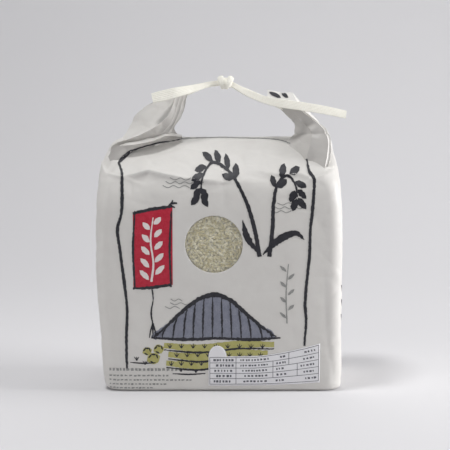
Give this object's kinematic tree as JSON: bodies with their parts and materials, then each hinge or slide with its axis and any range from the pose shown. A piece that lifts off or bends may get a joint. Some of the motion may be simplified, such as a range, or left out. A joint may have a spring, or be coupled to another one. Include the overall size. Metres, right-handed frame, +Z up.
{
  "type": "rice sack",
  "caption": "Filled square-bottomed paper rice sack with its mouth rolled to the back, two folded horns and a knotted paper tie as a handle; a round film window shows the rice.",
  "frame": {"origin": "middle of the flat base, on the surface that the sack stands on", "axes": "+Z up, the front with the round window faces -Y, +X to the right as seen from the front"},
  "size_m": [0.2387, 0.1212, 0.2969],
  "materials": {
    "sack_paper": "smooth white kraft paper, printed, with soft creases",
    "tie_paper": "flat cream band of twisted paper cords",
    "rice": "milled short grains, slightly waxy and translucent",
    "film": "thin clear film, glossy",
    "label_paper": "coated white sticker paper, semi-gloss"
  },
  "bodies": {
    "root": {"sack": "sack_paper", "tie": "tie_paper", "rice": "rice", "window_film": "film", "label": "label_paper"}
  },
  "joints": []
}
